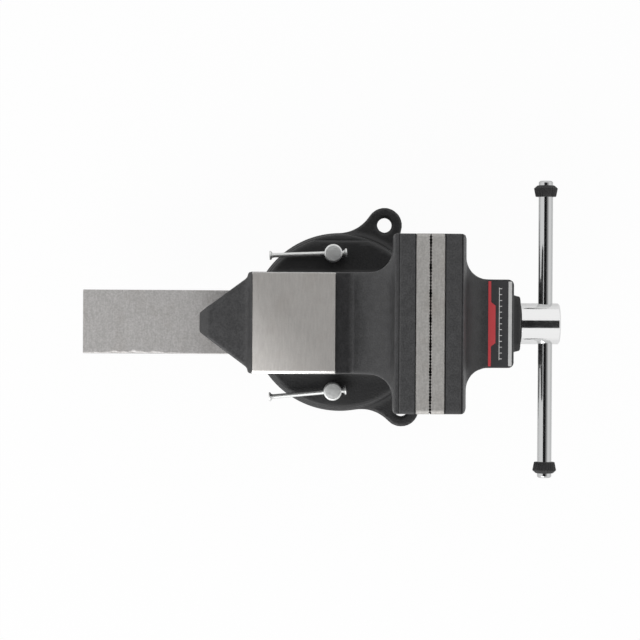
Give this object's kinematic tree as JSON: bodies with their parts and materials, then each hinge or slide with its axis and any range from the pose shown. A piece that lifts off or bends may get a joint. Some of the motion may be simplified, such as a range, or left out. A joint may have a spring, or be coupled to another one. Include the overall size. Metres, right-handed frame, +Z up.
{
  "type": "swivel bench vise",
  "caption": "Cast iron bench vise with square slide, anvil and horn, serrated jaw plates, T-handle lead screw and a lockable swivel base with bolt ears.",
  "frame": {"origin": "swivel axis where it meets the bench, the centre of the bench bolt circle", "axes": "+X along the slide towards the handle, +Y across the jaws, +Z up from the bench"},
  "size_m": [0.4128, 0.259, 0.19],
  "materials": {
    "painted_casting": "dark grey satin paint over a sand casting",
    "ground_steel": "ground and lightly oiled",
    "machined_steel": "turned or milled, unplated",
    "bright_chrome": "bright chrome plate",
    "zinc_plate": "zinc plated steel",
    "black_rubber": "moulded black rubber",
    "label_film": "printed film, bare of words"
  },
  "bodies": {
    "base": {"base": "painted_casting"},
    "body": {"body": "painted_casting", "fixed_jaw_plate": "ground_steel", "fixed_plate_screws": "machined_steel", "spindle_nut": "machined_steel", "nut_bolts": "machined_steel", "right_slot_nut": "machined_steel", "left_slot_nut": "machined_steel", "pivot_bolt": "machined_steel", "pivot_washer": "zinc_plate"},
    "moving_jaw": {"moving_jaw": "painted_casting", "moving_jaw_plate": "ground_steel", "moving_plate_screws": "machined_steel", "thrust_washer": "zinc_plate", "label": "label_film"},
    "spindle": {"spindle": "bright_chrome", "spring_washer": "zinc_plate", "take_up_spring": "machined_steel", "retaining_collar": "machined_steel", "collar_pin": "zinc_plate"},
    "handle": {"handle_bar": "bright_chrome", "upper_stop_ring": "black_rubber", "lower_stop_ring": "black_rubber"},
    "right_lock_bolt": {"right_lock_bolt": "zinc_plate"},
    "right_lock_bar": {"right_lock_bar": "zinc_plate"},
    "left_lock_bolt": {"left_lock_bolt": "zinc_plate"},
    "left_lock_bar": {"left_lock_bar": "zinc_plate"}
  },
  "joints": [
    {"name": "swivel", "type": "hinge", "parent": "base", "child": "body", "pos_m": [0, 0, 0.038], "axis": [0, 0, 1], "continuous": true},
    {"name": "jaw_slide", "type": "slide", "parent": "body", "child": "moving_jaw", "axis": [1, 0, 0], "range_m": [0, 0.15]},
    {"name": "spindle_turn", "type": "hinge", "parent": "moving_jaw", "child": "spindle", "pos_m": [0.15, 0, 0.093], "axis": [1, 0, 0], "range_deg": [0, 10800]},
    {"name": "handle_slide", "type": "slide", "parent": "spindle", "child": "handle", "axis": [0, 1, 0], "range_m": [-0.0926, 0.1024]},
    {"name": "right_lock_turn", "type": "hinge", "parent": "body", "child": "right_lock_bolt", "pos_m": [-0.00644, 0.06126, 0.052], "axis": [0, 0, 1], "range_deg": [-170, 10]},
    {"name": "right_lock_bar_slide", "type": "slide", "parent": "right_lock_bolt", "child": "right_lock_bar", "axis": [0.9993, 0.0384, 0], "range_m": [0, 0.0447]},
    {"name": "left_lock_turn", "type": "hinge", "parent": "body", "child": "left_lock_bolt", "pos_m": [-0.00644, -0.06126, 0.052], "axis": [0, 0, 1], "range_deg": [-15, 170]},
    {"name": "left_lock_bar_slide", "type": "slide", "parent": "left_lock_bolt", "child": "left_lock_bar", "axis": [0.9957, 0.0924, 0], "range_m": [0, 0.0447]}
  ],
  "couplings": [
    {"joint": "jaw_slide", "follows": "spindle_turn", "m_per_rad": 0.00079577}
  ]
}
